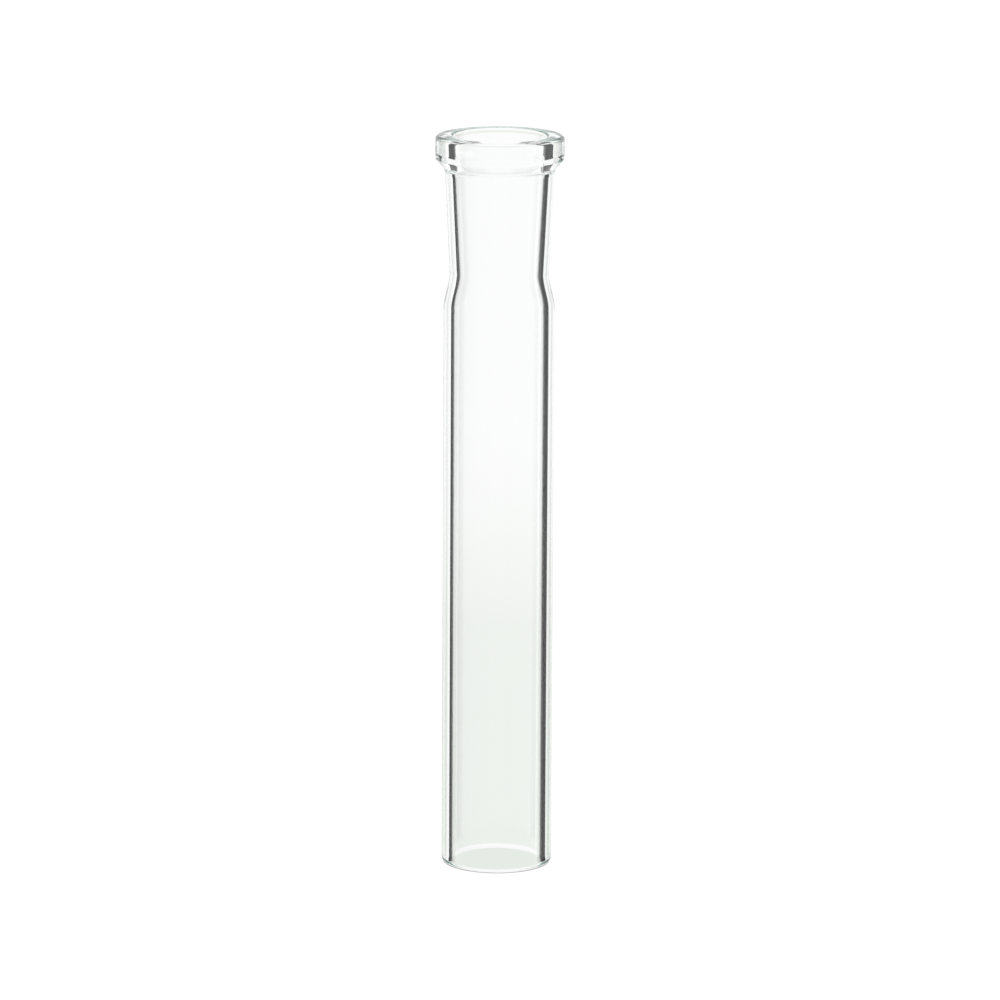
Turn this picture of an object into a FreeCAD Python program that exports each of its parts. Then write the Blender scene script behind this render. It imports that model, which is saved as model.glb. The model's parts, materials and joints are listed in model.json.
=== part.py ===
"""A clear glass standard-taper socket (outer joint) drawn on the end of a plain open tube.

The glass is one continuous wall. It is modelled as the four worked sections that a
glassblower names, each a closed solid that meets its neighbour face to face:

    shank_tube      the plain round tube, cut square and fire polished at its foot
    shoulder        the S-shaped neck-down between the tube and the socket
    taper_socket    the 1 in 10 tapered bore that takes a ground cone
    rim_collar      the thick ring of glass gathered round the socket's mouth

Frame: millimetres, +Z up along the tube's axis, origin at the centre of the foot.
"""

import FreeCAD, Part

import math
import os

# ---- Driving dimensions (mm) ----
OVERALL_LENGTH = 234.0

MOUTH_DIAMETER = 29.2  # large end of the taper, at the mouth plane
TAPER_LENGTH = 43.5  # mouth plane to the shoulder: the 42 mm joint and a short run-out
TAPER_RATIO = 1 / 10  # loss of diameter per length

TUBE_DIAMETER = 35.0
TUBE_WALL = 3.3

SOCKET_WALL_AT_MOUTH = 3.15
SOCKET_WALL_AT_SMALL_END = 3.25

SHOULDER_LENGTH = 11.5

COLLAR_DIAMETER = 40.5
COLLAR_BAND = 7.5  # mouth plane to the lower edge of the collar's straight side
COLLAR_HEIGHT = 10.6  # mouth plane to where the collar's underside meets the socket
COLLAR_TOP_ROUND = 1.3
COLLAR_LOWER_ROUND = 0.8

MOUTH_ROUND = 1.5  # fire-polished inner edge of the mouth
FOOT_ROUND = 1.4  # fire-polished edges of the cut foot

# ---- Derived sizes (mm) ----
SMALL_END_DIAMETER = MOUTH_DIAMETER - TAPER_RATIO * TAPER_LENGTH
SOCKET_FOOT_Z = OVERALL_LENGTH - TAPER_LENGTH
SHOULDER_FOOT_Z = SOCKET_FOOT_Z - SHOULDER_LENGTH

MOUTH_BORE_R = MOUTH_DIAMETER / 2
SMALL_BORE_R = SMALL_END_DIAMETER / 2
TUBE_R = TUBE_DIAMETER / 2
TUBE_BORE_R = TUBE_R - TUBE_WALL
MOUTH_OUTER_R = MOUTH_BORE_R + SOCKET_WALL_AT_MOUTH
SMALL_OUTER_R = SMALL_BORE_R + SOCKET_WALL_AT_SMALL_END
COLLAR_R = COLLAR_DIAMETER / 2


def point(radius, z):
    """A point of a half section, in the XZ plane."""
    return FreeCAD.Vector(radius, 0, z)


def line(start, end):
    return Part.LineSegment(start, end).toShape()


def rounded_corner(before, corner, after, radius):
    """The arc that rounds a corner, with the points where it leaves the two sides."""
    to_before = (before - corner).normalize()
    to_after = (after - corner).normalize()
    half_angle = to_before.getAngle(to_after) / 2
    start = corner + to_before * (radius / math.tan(half_angle))
    end = corner + to_after * (radius / math.tan(half_angle))
    inward = (to_before + to_after).normalize()
    middle = corner + inward * (radius / math.sin(half_angle) - radius)
    return start, Part.Arc(start, middle, end).toShape(), end


def half_section(corners):
    """A closed outline through (point, round radius) corners, radius 0 for a sharp one."""
    count = len(corners)
    edges, joins = [], []
    for i, (corner, radius) in enumerate(corners):
        if radius:
            before, after = corners[i - 1][0], corners[(i + 1) % count][0]
            start, arc, end = rounded_corner(before, corner, after, radius)
            edges.append(arc)
            joins.append((start, end))
        else:
            joins.append((corner, corner))
    for i in range(count):
        edges.append(line(joins[i][1], joins[(i + 1) % count][0]))
    return edges


def turned(edges):
    """The solid that a closed half section sweeps in a full turn about the Z axis."""
    wire = Part.Wire(Part.sortEdges(edges)[0])
    axis_point, axis = FreeCAD.Vector(0, 0, 0), FreeCAD.Vector(0, 0, 1)
    solid = Part.Face(wire).revolve(axis_point, axis, 360)
    return Part.Solid(solid) if solid.ShapeType == "Shell" else solid


def outer_radius_at(depth):
    """The socket's outside radius at a depth below the mouth plane."""
    share = depth / TAPER_LENGTH
    return MOUTH_OUTER_R + share * (SMALL_OUTER_R - MOUTH_OUTER_R)


def swept_side(small_r, mouth_r, tube_r):
    """One side of the shoulder: it leaves the socket's taper and runs into the tube's wall."""
    reach = SHOULDER_LENGTH / 3
    slope = (mouth_r - small_r) / TAPER_LENGTH
    curve = Part.BezierCurve()
    curve.setPoles(
        [
            point(small_r, SOCKET_FOOT_Z),
            point(small_r - slope * reach, SOCKET_FOOT_Z - reach),
            point(tube_r, SHOULDER_FOOT_Z + reach),
            point(tube_r, SHOULDER_FOOT_Z),
        ]
    )
    return curve.toShape()


def shank_tube():
    return turned(
        half_section(
            [
                (point(TUBE_BORE_R, 0), FOOT_ROUND),
                (point(TUBE_R, 0), FOOT_ROUND),
                (point(TUBE_R, SHOULDER_FOOT_Z), 0),
                (point(TUBE_BORE_R, SHOULDER_FOOT_Z), 0),
            ]
        )
    )


def shoulder():
    return turned(
        [
            swept_side(SMALL_OUTER_R, MOUTH_OUTER_R, TUBE_R),
            line(point(TUBE_R, SHOULDER_FOOT_Z), point(TUBE_BORE_R, SHOULDER_FOOT_Z)),
            swept_side(SMALL_BORE_R, MOUTH_BORE_R, TUBE_BORE_R),
            line(point(SMALL_BORE_R, SOCKET_FOOT_Z), point(SMALL_OUTER_R, SOCKET_FOOT_Z)),
        ]
    )


def taper_socket():
    return turned(
        half_section(
            [
                (point(SMALL_BORE_R, SOCKET_FOOT_Z), 0),
                (point(SMALL_OUTER_R, SOCKET_FOOT_Z), 0),
                (point(MOUTH_OUTER_R, OVERALL_LENGTH), 0),
                (point(MOUTH_BORE_R, OVERALL_LENGTH), MOUTH_ROUND),
            ]
        )
    )


def rim_collar():
    underside_z = OVERALL_LENGTH - COLLAR_HEIGHT
    return turned(
        half_section(
            [
                (point(MOUTH_OUTER_R, OVERALL_LENGTH), 0),
                (point(outer_radius_at(COLLAR_HEIGHT), underside_z), 0),
                (point(COLLAR_R, OVERALL_LENGTH - COLLAR_BAND), COLLAR_LOWER_ROUND),
                (point(COLLAR_R, OVERALL_LENGTH), COLLAR_TOP_ROUND),
            ]
        )
    )


def main():
    os.makedirs("parts", exist_ok=True)
    for section in (shank_tube, shoulder, taper_socket, rim_collar):
        shape = section()
        name = section.__name__
        assert shape.isValid() and len(shape.Solids) == 1 and shape.Volume > 0, name
        shape.exportStep(f"parts/{name}.step")
        print(f"{name}: {shape.Volume:.0f} mm3, {len(shape.Faces)} faces")


main()
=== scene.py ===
"""The finished look of the clear glass socket tube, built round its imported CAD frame.

The real object is one unbroken piece of glass. Four CAD sections that only touch would show
their inner end faces through the glass, so a single closed mesh of revolution stands for all
four. Its radii and heights come from the frame; what is added here is the fillet under the
collar, the faint drawing lines and a trace of haze from handling.

Lengths are metres. The tube stands on the floor at the origin with +Z up its axis.
"""

import json
import math

import bmesh
import bpy
from mathutils import Matrix, Vector


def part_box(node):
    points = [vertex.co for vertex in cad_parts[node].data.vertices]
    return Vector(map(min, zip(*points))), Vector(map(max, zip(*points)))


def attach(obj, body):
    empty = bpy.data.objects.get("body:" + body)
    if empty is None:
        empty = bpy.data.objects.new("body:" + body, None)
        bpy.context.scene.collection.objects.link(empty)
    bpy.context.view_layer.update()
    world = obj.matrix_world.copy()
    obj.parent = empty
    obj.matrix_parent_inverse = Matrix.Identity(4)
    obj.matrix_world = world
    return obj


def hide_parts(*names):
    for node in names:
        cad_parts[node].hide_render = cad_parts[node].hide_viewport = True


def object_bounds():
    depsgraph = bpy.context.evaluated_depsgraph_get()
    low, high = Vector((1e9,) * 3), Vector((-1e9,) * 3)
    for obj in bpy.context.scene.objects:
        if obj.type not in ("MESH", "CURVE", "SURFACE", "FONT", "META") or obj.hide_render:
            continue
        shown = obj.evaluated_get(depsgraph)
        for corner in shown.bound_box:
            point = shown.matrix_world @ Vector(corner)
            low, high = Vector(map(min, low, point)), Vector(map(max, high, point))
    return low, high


MM = 0.001

# ---- Glass: how it is worked, beyond the frame's own sizes ----
MOUTH_ROUND = 1.5 * MM
FOOT_ROUND = 1.4 * MM
COLLAR_TOP_ROUND = 1.3 * MM
COLLAR_LOWER_ROUND = 0.8 * MM
COLLAR_ROOT_ROUND = 4.5 * MM
COLLAR_BAND = 7.5 * MM  # from the mouth plane to the lower edge of the collar's straight side
SHOULDER_REACH = 1 / 3  # length of the S-curve's handles, as a share of the shoulder

# ---- Mesh ----
SEGMENTS = 256  # round the axis
CORNER_STEPS = 14  # facets in a rounded corner
SHOULDER_STEPS = 40
LONGEST_RUN = 4 * MM  # a straight stretch is cut into runs no longer than this
STRAIGHT_RUN = 0.4 * MM  # anything longer is a straight stretch, not a facet of a curve
HOLD = 0.03 * MM  # from a stretch's end to the ring that keeps its shading flat
SAME_HEIGHT = 0.01 * MM  # CAD vertices closer than this are at one height

# ---- Glass material ----
IOR = 1.473  # borosilicate
TINT = (0.2, 0.52, 0.44, 1)
TINT_DENSITY = 2.5  # per metre
DRAW_STRETCH = (140.0, 140.0, 9.0)  # per metre, fine round the tube and long along it
DRAW_DETAIL = 2.0
DRAW_RELIEF = 0.003 * MM
HANDLING_SCALE = 60.0  # per metre
HANDLING_FROM = 0.55  # the share of the noise where haze begins
HANDLING_FULL = 0.8
HANDLING_HAZE = 0.02  # roughness where it has been handled most

# ---- Camera ----
LENS = 225.0  # mm
SENSOR = 36.0  # mm
CAMERA_DISTANCE = 1.977
CAMERA_PITCH = math.radians(11.7)
CAMERA_ROLL = math.radians(0.31)
CAMERA_ASIDE = 0.6 * MM
CAMERA_LIFT = 0.5 * MM
CLIP = (0.1, 100.0)

# ---- Light tent: pale cloth on part of a sphere, with a dark gap on either side ----
# Azimuth 0 is straight behind the glass and + to the right, elevation 0 is level.
TENT_RADIUS = 15.0
TENT_STEP = math.radians(1)  # the most between two rows of a panel's mesh
LEFT_EDGE = math.radians(-41)  # the backdrop's sides
RIGHT_EDGE = math.radians(33)
FRONT_EDGE = math.radians(68)  # the front cloth's sides
GAP_TOP = math.radians(20)
GAP_FOOT = math.radians(-28)
TENT_FOOT = math.radians(-80)
TENT_TOP = math.radians(89)
CLOTH = 0.98  # how brightly the backdrop glows
FRONT = 1.0  # and the rest of the tent
DARK = 0.03  # and the room in the gaps, and the set's dark sides
BACKDROP = ((-30, 1.12), (-16, 0.95), (0, 1.0), (8, 1.0), (24, 1.12))  # degrees, share of CLOTH
# The table below the backdrop is painted shade on the tent's cloth, darker towards the glass.
TABLE_FADE = (math.radians(11.3), math.radians(13.2))  # below level, from the table's far edge
TABLE_SIDES = (math.radians(24), math.radians(34))  # either side, where its shade fades out
TABLE_SHADE = (0.132, 0.102, 0.145)  # what it takes from the red, green and blue
DARK_FROM = (math.radians(35), math.radians(45))  # the set's dark sides, low down
DARK_TO = (math.radians(105), math.radians(115))  # where they give way to the pale front
DARK_BELOW = (math.radians(33), math.radians(38))  # and how far below level they begin

# ---- Floor ----
WHITE = 1.05  # a little over white, so that the floor and surroundings show no edge
FLOOR_REACH = 20.0
FLOOR_DROP = 0.05 * MM  # under the foot, so that no two faces lie in one plane
SHADED_TABLE = (0.775, 0.82, 0.77)  # painted shade of the table inside the foot
SHADED_DROP = 0.04 * MM
CREVICE = (1.3 * MM, 0.5 * MM)  # in from the tube's side, the shade under the foot's edge
CREVICE_SHADE = (0.45, 0.45, 0.45)

BOUNCES = 96  # light that is guided along inside the wall needs many


def mounts(record):
    """The record's mounts by name."""
    return {m["name"]: m for m in record["mounts"]}


def radius_at(node, height, pick):
    """The smallest or largest radius, as pick says, of a CAD node's vertices at a height."""
    found = [
        math.hypot(v.co.x, v.co.y)
        for v in bpy.data.objects[node].data.vertices
        if abs(v.co.z - height) < SAME_HEIGHT
    ]
    return pick(found)


def read_sizes(frame):
    """Every radius and height of the glass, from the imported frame."""
    named = mounts(frame["record"])
    foot, tube_top = (end.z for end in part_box("shank_tube"))
    socket_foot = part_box("taper_socket")[0].z
    collar_foot, mouth = (end.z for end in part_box("rim_collar"))
    return {
        "foot": foot,
        "shoulder_foot": tube_top,
        "socket_foot": socket_foot,
        "collar_foot": collar_foot,
        "mouth": mouth,
        "tube_r": named["tube_outside"]["dims"]["r_mm"] * MM,
        "tube_bore_r": named["tube_bore"]["dims"]["r_mm"] * MM,
        "collar_r": named["collar_band"]["dims"]["r_mm"] * MM,
        "mouth_bore_r": named["socket_taper"]["dims"]["r_mm"] * MM,
        "small_bore_r": radius_at("taper_socket", socket_foot, min),
        "small_outer_r": radius_at("taper_socket", socket_foot, max),
        "collar_root_r": radius_at("rim_collar", collar_foot, max),
    }


# ---- Section of the glass ----
def corner(before, at, after, radius):
    """Points of a rounded corner between two straight runs."""
    into = (at - before).normalized()
    out = (after - at).normalized()
    turn = into.angle_signed(out)
    start = at - into * radius * math.tan(abs(turn) / 2)
    side = Vector((-into.y, into.x)) * (-1 if turn > 0 else 1)
    centre = start + side * radius
    arm = start - centre
    points = []
    for i in range(CORNER_STEPS + 1):
        angle = -turn * i / CORNER_STEPS
        points.append(centre + Matrix.Rotation(angle, 2) @ arm)
    return points


def s_curve(start, end, start_slope, end_slope):
    """The neck-down of the shoulder, tangent to the tube below and to the taper above."""
    reach = (end.y - start.y) * SHOULDER_REACH
    handles = [
        start,
        start + Vector((start_slope, 1)) * reach,
        end - Vector((end_slope, 1)) * reach,
        end,
    ]
    points = []
    for i in range(1, SHOULDER_STEPS):
        t = i / SHOULDER_STEPS
        weights = [(1 - t) ** 3, 3 * t * (1 - t) ** 2, 3 * t * t * (1 - t), t**3]
        weighted = (handle * weight for handle, weight in zip(handles, weights))
        points.append(sum(weighted, Vector((0, 0))))
    return points


def with_runs_cut(points):
    """The closed outline with its straight stretches cut up and held flat near their ends."""
    cut = []
    for i, point in enumerate(points):
        following = points[(i + 1) % len(points)]
        length = (following - point).length
        cut.append(point)
        if length > STRAIGHT_RUN:
            pieces = math.ceil(length / LONGEST_RUN)
            stops = [HOLD / length, *(k / pieces for k in range(1, pieces)), 1 - HOLD / length]
            cut += [point.lerp(following, stop) for stop in stops]
    return cut


def section(sizes):
    """The closed half section, as (radius, height) points up the outside and down the bore."""
    outer_rise = sizes["collar_foot"] - sizes["socket_foot"]
    outer_slope = (sizes["collar_root_r"] - sizes["small_outer_r"]) / outer_rise
    bore_rise = sizes["mouth"] - sizes["socket_foot"]
    bore_slope = (sizes["mouth_bore_r"] - sizes["small_bore_r"]) / bore_rise
    foot_in = Vector((sizes["tube_bore_r"], sizes["foot"]))
    foot_out = Vector((sizes["tube_r"], sizes["foot"]))
    outer_low = Vector((sizes["tube_r"], sizes["shoulder_foot"]))
    outer_high = Vector((sizes["small_outer_r"], sizes["socket_foot"]))
    collar_root = Vector((sizes["collar_root_r"], sizes["collar_foot"]))
    band_low = Vector((sizes["collar_r"], sizes["mouth"] - COLLAR_BAND))
    band_high = Vector((sizes["collar_r"], sizes["mouth"]))
    mouth_in = Vector((sizes["mouth_bore_r"], sizes["mouth"]))
    bore_high = Vector((sizes["small_bore_r"], sizes["socket_foot"]))
    bore_low = Vector((sizes["tube_bore_r"], sizes["shoulder_foot"]))
    points = corner(foot_in, foot_out, outer_low, FOOT_ROUND)
    points.append(outer_low)
    points += s_curve(outer_low, outer_high, 0, outer_slope)
    points.append(outer_high)
    points += corner(outer_high, collar_root, band_low, COLLAR_ROOT_ROUND)
    points += corner(collar_root, band_low, band_high, COLLAR_LOWER_ROUND)
    points += corner(band_low, band_high, mouth_in, COLLAR_TOP_ROUND)
    points += corner(band_high, mouth_in, bore_high, MOUTH_ROUND)
    points.append(bore_high)
    points += reversed(s_curve(bore_low, bore_high, 0, bore_slope))
    points.append(bore_low)
    points += corner(bore_low, foot_in, foot_out, FOOT_ROUND)
    return with_runs_cut(points)


def ring(bm, radius, height):
    """One ring of vertices round the axis."""
    vertices = []
    for i in range(SEGMENTS):
        angle = 2 * math.pi * i / SEGMENTS
        place = (radius * math.cos(angle), radius * math.sin(angle), height)
        vertices.append(bm.verts.new(place))
    return vertices


def joined(bm, lower, upper):
    """Smooth faces between two rings."""
    for i in range(SEGMENTS):
        k = (i + 1) % SEGMENTS
        face = bm.faces.new((lower[i], lower[k], upper[k], upper[i]))
        face.smooth = True


def turned_mesh(name, outline):
    """A closed mesh of revolution about Z from a closed outline."""
    bm = bmesh.new()
    rings = [ring(bm, radius, height) for radius, height in outline]
    for j, lower in enumerate(rings):
        joined(bm, lower, rings[(j + 1) % len(rings)])
    bmesh.ops.recalc_face_normals(bm, faces=bm.faces)
    return finished(bm, name)


def finished(bm, name):
    """The mesh that a bmesh holds."""
    mesh = bpy.data.meshes.new(name)
    bm.to_mesh(mesh)
    bm.free()
    return mesh


def placed(name, data):
    """An object in the scene."""
    obj = bpy.data.objects.new(name, data)
    bpy.context.scene.collection.objects.link(obj)
    return obj


def glass_body(sizes):
    """The whole glass as one piece."""
    mesh = turned_mesh("glass_body", section(sizes))
    mesh.materials.append(clear_glass())
    return placed("glass_body", mesh)


# ---- Glass material ----
def new_material(name):
    """A material with an output and nothing else, and its nodes and links."""
    material = bpy.data.materials.new(name)
    material.use_nodes = True
    nodes = material.node_tree.nodes
    nodes.clear()
    return material, nodes.new("ShaderNodeOutputMaterial"), nodes, material.node_tree.links


def drawing_lines(nodes, links, place):
    """Faint relief from drawing the tube: fine round it, long along it."""
    drawn = nodes.new("ShaderNodeMapping")
    drawn.inputs["Scale"].default_value = DRAW_STRETCH
    links.new(place.outputs["Object"], drawn.inputs["Vector"])
    waves = nodes.new("ShaderNodeTexNoise")
    waves.inputs["Scale"].default_value = 1.0
    waves.inputs["Detail"].default_value = DRAW_DETAIL
    links.new(drawn.outputs[0], waves.inputs["Vector"])
    relief = nodes.new("ShaderNodeBump")
    relief.inputs["Strength"].default_value = 1.0
    relief.inputs["Distance"].default_value = DRAW_RELIEF
    links.new(waves.outputs["Fac"], relief.inputs["Height"])
    return relief.outputs[0]


def handling_haze(nodes, links, place):
    """A trace of roughness in patches where the glass has been handled."""
    handled = nodes.new("ShaderNodeTexNoise")
    handled.inputs["Scale"].default_value = HANDLING_SCALE
    links.new(place.outputs["Object"], handled.inputs["Vector"])
    haze = nodes.new("ShaderNodeMapRange")
    haze.inputs["From Min"].default_value = HANDLING_FROM
    haze.inputs["From Max"].default_value = HANDLING_FULL
    haze.inputs["To Max"].default_value = HANDLING_HAZE
    links.new(handled.outputs["Fac"], haze.inputs["Value"])
    return haze.outputs[0]


def clear_glass():
    """Clear drawn glass that turns grey-green where light goes a long way through it."""
    material, out, nodes, links = new_material("clear_borosilicate")
    glass = nodes.new("ShaderNodeBsdfPrincipled")
    glass.inputs["Base Color"].default_value = (1, 1, 1, 1)
    glass.inputs["IOR"].default_value = IOR
    glass.inputs["Transmission Weight"].default_value = 1.0
    place = nodes.new("ShaderNodeTexCoord")
    links.new(drawing_lines(nodes, links, place), glass.inputs["Normal"])
    links.new(handling_haze(nodes, links, place), glass.inputs["Roughness"])
    links.new(glass.outputs[0], out.inputs["Surface"])
    tint = nodes.new("ShaderNodeVolumeAbsorption")
    tint.inputs["Color"].default_value = TINT
    tint.inputs["Density"].default_value = TINT_DENSITY
    links.new(tint.outputs[0], out.inputs["Volume"])
    return material


# ---- Studio ----
def emission(name, colour=(1, 1, 1), strength=1.0):
    """A surface that glows evenly."""
    material, out, nodes, links = new_material(name)
    light = nodes.new("ShaderNodeEmission")
    light.inputs["Color"].default_value = (*colour, 1)
    light.inputs["Strength"].default_value = strength
    links.new(light.outputs[0], out.inputs["Surface"])
    return material


def tent_cloth():
    """Cloth that glows by the level painted on its mesh."""
    material = emission("tent_cloth")
    tree = material.node_tree
    level = tree.nodes.new("ShaderNodeAttribute")
    level.attribute_name = "level"
    tree.links.new(level.outputs["Color"], tree.nodes["Emission"].inputs["Color"])
    return material


def seen_by_glass_only(obj):
    """Out of the picture itself, but there for light that comes through the glass."""
    obj.visible_camera = False
    obj.visible_diffuse = False
    obj.visible_shadow = False
    obj.visible_volume_scatter = False


def ramp(value, start, end):
    """0 before start, 1 after end, smooth between."""
    share = min(1.0, max(0.0, (value - start) / (end - start)))
    return share * share * (3 - 2 * share)


def side_level(azimuth):
    """How bright the backdrop is from side to side."""
    degrees = math.degrees(azimuth)
    for (left, low), (right, high) in zip(BACKDROP, BACKDROP[1:]):
        if degrees <= right:
            return low + (high - low) * ramp(degrees, left, right)
    return BACKDROP[-1][1]


def backdrop_level(azimuth, elevation):
    """Cloth that is brighter at its sides, over a table painted on as shade, darker towards the
    glass.
    """
    side = side_level(azimuth)
    shade = ramp(-elevation, *TABLE_FADE) * (1 - ramp(abs(azimuth), *TABLE_SIDES))
    return [CLOTH * side * (1 - taken * shade) for taken in TABLE_SHADE]


def even_level(azimuth, elevation):
    """The same all over."""
    return [FRONT] * 3


def ground_level(azimuth, elevation):
    """Pale floor with the set's dark sides low down to the left and right."""
    sides = ramp(abs(azimuth), *DARK_FROM) * (1 - ramp(abs(azimuth), *DARK_TO))
    low = ramp(-elevation, *DARK_BELOW)
    return [FRONT - (FRONT - DARK) * sides * low] * 3


def spaced(ends):
    """Even steps from one angle to another, none of them over TENT_STEP."""
    start, end = ends
    steps = math.ceil((end - start) / TENT_STEP)
    return [start + (end - start) * i / steps for i in range(steps + 1)]


def cloth_row(bm, azimuths, elevation, level_at):
    """One row of a panel's vertices, with their levels painted on."""
    levels = bm.verts.layers.float_color["level"]
    row = []
    for azimuth in spaced(azimuths):
        out = Vector((math.sin(azimuth), math.cos(azimuth), math.tan(elevation)))
        vertex = bm.verts.new(out.normalized() * TENT_RADIUS)
        vertex[levels] = (*level_at(azimuth, elevation), 1)
        row.append(vertex)
    return row


def panel(name, azimuths, elevations, level_at, cloth, rig):
    """Cloth on part of the tent's sphere."""
    bm = bmesh.new()
    bm.verts.layers.float_color.new("level")
    rows = [cloth_row(bm, azimuths, elevation, level_at) for elevation in spaced(elevations)]
    for lower, upper in zip(rows, rows[1:]):
        for i in range(len(lower) - 1):
            bm.faces.new((lower[i], lower[i + 1], upper[i + 1], upper[i]))
    mesh = finished(bm, name)
    mesh.materials.append(cloth)
    obj = placed(name, mesh)
    seen_by_glass_only(obj)
    obj.parent = rig


def light_tent(camera, centre):
    """The tent round the glass. It turns with the camera, as round a tube on a turntable."""
    rig = placed("tent_rig", None)
    rig.location = centre
    bpy.context.view_layer.update()
    rig.parent = camera
    rig.matrix_parent_inverse = camera.matrix_world.inverted()
    cloth = tent_cloth()
    behind = (LEFT_EDGE, RIGHT_EDGE)
    in_front = (FRONT_EDGE, 2 * math.pi - FRONT_EDGE)
    around = (-math.pi, math.pi)
    gap = (GAP_FOOT, GAP_TOP)
    panel("backdrop", behind, gap, backdrop_level, cloth, rig)
    panel("front", in_front, gap, even_level, cloth, rig)
    panel("canopy", around, (GAP_TOP, TENT_TOP), even_level, cloth, rig)
    panel("ground", around, (TENT_FOOT, GAP_FOOT), ground_level, cloth, rig)


def studio_world():
    """White as the camera sees it, and dark in the tent's gaps."""
    world = bpy.data.worlds.new("studio")
    bpy.context.scene.world = world
    world.use_nodes = True
    nodes = world.node_tree.nodes
    links = world.node_tree.links
    nodes.clear()
    out = nodes.new("ShaderNodeOutputWorld")
    mix = nodes.new("ShaderNodeMixShader")
    path = nodes.new("ShaderNodeLightPath")
    dark = nodes.new("ShaderNodeBackground")
    dark.inputs["Color"].default_value = (DARK, DARK, DARK, 1)
    white = nodes.new("ShaderNodeBackground")
    white.inputs["Color"].default_value = (1, 1, 1, 1)
    white.inputs["Strength"].default_value = WHITE
    links.new(path.outputs["Is Camera Ray"], mix.inputs[0])
    links.new(dark.outputs[0], mix.inputs[1])
    links.new(white.outputs[0], mix.inputs[2])
    links.new(mix.outputs[0], out.inputs["Surface"])


def floor():
    """A plain white floor. The glass sees the tent's ground instead."""
    bm = bmesh.new()
    bmesh.ops.create_grid(bm, x_segments=1, y_segments=1, size=FLOOR_REACH)
    mesh = finished(bm, "floor")
    mesh.materials.append(emission("floor", strength=WHITE))
    obj = placed("floor", mesh)
    obj.location.z = -FLOOR_DROP
    obj.visible_transmission = False
    obj.visible_glossy = False


def shaded_table(sizes):
    """A grey glowing patch of painted shade for the table inside the foot, which only shows
    through the glass.
    """
    bm = bmesh.new()
    radius = (sizes["tube_bore_r"] + sizes["tube_r"]) / 2
    bmesh.ops.create_circle(bm, cap_ends=True, radius=radius, segments=SEGMENTS)
    mesh = finished(bm, "shaded_table")
    mesh.materials.append(emission("shaded_table", SHADED_TABLE))
    patch = placed("shaded_table", mesh)
    patch.location.z = -SHADED_DROP
    seen_by_glass_only(patch)


def foot_shadow(sizes):
    """The thin line of shade on the floor in the crevice under the foot's rounded edge."""
    bm = bmesh.new()
    inner, outer = (ring(bm, sizes["tube_r"] - inset, 0) for inset in CREVICE)
    joined(bm, inner, outer)
    mesh = finished(bm, "foot_shadow")
    mesh.materials.append(emission("foot_shadow", CREVICE_SHADE))
    shade = placed("foot_shadow", mesh)
    shade.location.z = -SHADED_DROP


def camera_for(centre):
    """The camera, at the photo's viewing angle."""
    data = bpy.data.cameras.new("camera")
    data.lens = LENS
    data.sensor_width = SENSOR
    data.clip_start, data.clip_end = CLIP
    camera = placed("camera", data)
    back = Vector((0, -math.cos(CAMERA_PITCH), math.sin(CAMERA_PITCH)))
    turn = (-back).to_track_quat("-Z", "Y").to_matrix().to_4x4()
    roll = Matrix.Rotation(CAMERA_ROLL, 4, "Z")
    aside = Vector((CAMERA_ASIDE, 0, CAMERA_LIFT))
    place = Matrix.Translation(centre + back * CAMERA_DISTANCE + aside)
    camera.matrix_world = place @ turn @ roll
    bpy.context.scene.camera = camera
    return camera


def look_settings():
    """Plain colours, and enough bounces for the light inside the wall."""
    scene = bpy.context.scene
    scene.view_settings.view_transform = "Standard"
    scene.cycles.max_bounces = BOUNCES
    scene.cycles.transmission_bounces = BOUNCES
    scene.cycles.glossy_bounces = BOUNCES


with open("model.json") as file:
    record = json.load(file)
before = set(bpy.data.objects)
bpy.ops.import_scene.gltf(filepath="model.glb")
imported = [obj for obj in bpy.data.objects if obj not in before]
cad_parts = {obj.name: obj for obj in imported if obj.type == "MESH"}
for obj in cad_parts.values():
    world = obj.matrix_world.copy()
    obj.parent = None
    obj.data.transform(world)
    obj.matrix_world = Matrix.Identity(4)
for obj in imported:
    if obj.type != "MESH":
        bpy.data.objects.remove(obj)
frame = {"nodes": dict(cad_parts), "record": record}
cad_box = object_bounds()
sizes = read_sizes(frame)
glass = glass_body(sizes)
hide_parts(*sorted(frame["nodes"]))
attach(glass, "root")
middle = (cad_box[0] + cad_box[1]) / 2
look_settings()
studio_world()
floor()
shaded_table(sizes)
foot_shadow(sizes)
light_tent(camera_for(middle), middle)
